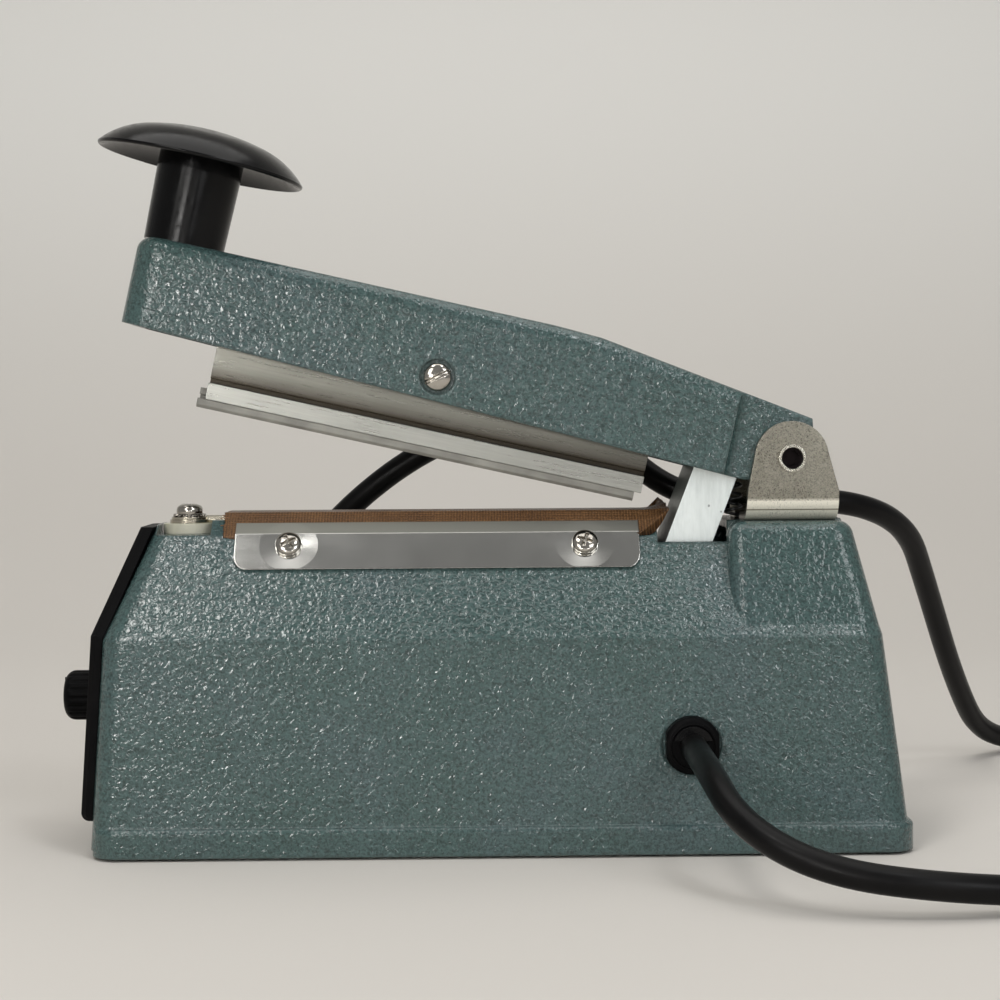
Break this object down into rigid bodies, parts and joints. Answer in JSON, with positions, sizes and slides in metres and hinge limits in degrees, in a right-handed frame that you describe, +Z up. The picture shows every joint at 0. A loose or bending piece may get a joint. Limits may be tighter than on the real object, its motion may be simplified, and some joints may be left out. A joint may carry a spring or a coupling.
{
  "type": "impulse sealer",
  "caption": "Hand-operated impulse heat sealer: cast base with sealing deck, hinged press arm with palm knob, timer dial and power cord.",
  "frame": {"origin": "bottom of the rubber feet, under the middle of the length from dial to hinge end, on the mid-plane; the cord side is -Y", "axes": "+X along the machine from the timer panel towards the hinge, +Y towards the side away from the cord outlet, +Z up"},
  "size_m": [0.365, 0.2704, 0.197],
  "materials": {
    "paint": "hammertone enamel, semi-gloss",
    "black_moulding": "moulded, satin",
    "bakelite": "polished phenolic",
    "bright_screw": "nickel plated, bright",
    "nickel": "satin nickel plate",
    "zinc": "bright zinc plate",
    "stainless": "mirror-bright stainless",
    "aluminium": "extruded, satin",
    "silicone": "grey silicone, matte",
    "release_cloth": "woven glass cloth with PTFE coat",
    "band": "heat-tinted resistance band",
    "nylon": "off-white nylon",
    "brass": "nickel-washed brass",
    "core_steel": "varnished laminations",
    "winding": "taped copper winding",
    "board": "glass-epoxy board",
    "board_black": "moulded component bodies",
    "phenolic": "phenolic sheet",
    "cord_black": "PVC jacket, satin",
    "rubber_black": "matte rubber",
    "lens": "clear red lens",
    "cover_steel": "zinc-plated sheet",
    "spring_steel": "spring wire"
  },
  "bodies": {
    "base": {"base_casting": "paint", "front_panel": "black_moulding", "panel_screws": "bright_screw", "bottom_cover": "cover_steel", "cover_screws": "bright_screw", "rubber_feet": "rubber_black", "transformer_core": "core_steel", "transformer_coil": "winding", "transformer_strap": "cover_steel", "strap_screws": "bright_screw", "timer_pot": "zinc", "pot_nut": "bright_screw", "timer_board": "board", "board_parts": "board_black", "lamp": "lens", "microswitch": "board_black", "switch_plate": "cover_steel", "switch_screws": "bright_screw", "hinge_bracket": "nickel", "bracket_screws": "bright_screw", "hinge_pin": "nickel", "pin_ring": "zinc", "return_spring": "spring_steel", "guard_plate_near": "stainless", "guard_plate_far": "stainless", "plate_screws": "bright_screw", "insulating_strip": "phenolic", "heating_element": "band", "release_cloth": "release_cloth", "terminal_bush": "nylon", "element_lug": "brass", "terminal_collar": "bright_screw", "terminal_screw": "bright_screw", "terminal_nut": "brass", "rear_block": "phenolic", "rear_screws": "bright_screw", "strain_relief": "black_moulding", "power_cord": "cord_black", "cord_coil": "cord_black", "cord_tail": "cord_black", "plug_body": "cord_black", "plug_pins": "brass"},
    "arm": {"arm_casting": "paint", "palm_knob": "bakelite", "knob_screw": "bright_screw", "cross_screw": "bright_screw", "cross_nut": "bright_screw", "lever": "zinc", "lever_screws": "bright_screw"},
    "press_bar": {"press_bar": "aluminium", "press_rubber": "silicone"},
    "dial": {"timer_knob": "black_moulding", "pot_shaft": "aluminium"},
    "plunger": {"switch_plunger": "nylon"}
  },
  "joints": [
    {"name": "arm_hinge", "type": "hinge", "parent": "base", "child": "arm", "pos_m": [0.08488, 0, 0.1041], "axis": [0, -1, 0], "range_deg": [0, 8.5], "stiffness_Nm_per_rad": 2.2, "springref_deg": -17.19, "deforming": ["return_spring"]},
    {"name": "bar_rock", "type": "hinge", "parent": "arm", "child": "press_bar", "pos_m": [-0.01052, 0, 0.12655], "axis": [0, -1, 0], "range_deg": [0, 4.06]},
    {"name": "timer_dial", "type": "hinge", "parent": "base", "child": "dial", "pos_m": [-0.10862, 0, 0.0392], "axis": [1, 0, 0], "range_deg": [0, 270]},
    {"name": "switch_press", "type": "slide", "parent": "base", "child": "plunger", "axis": [0, 0, -1], "range_m": [0, 0.00101]}
  ],
  "couplings": [
    {"joint": "bar_rock", "follows": "arm_hinge", "ratio": 0.47647},
    {"joint": "switch_press", "follows": "arm_hinge", "m_per_rad": 0.0067407}
  ]
}
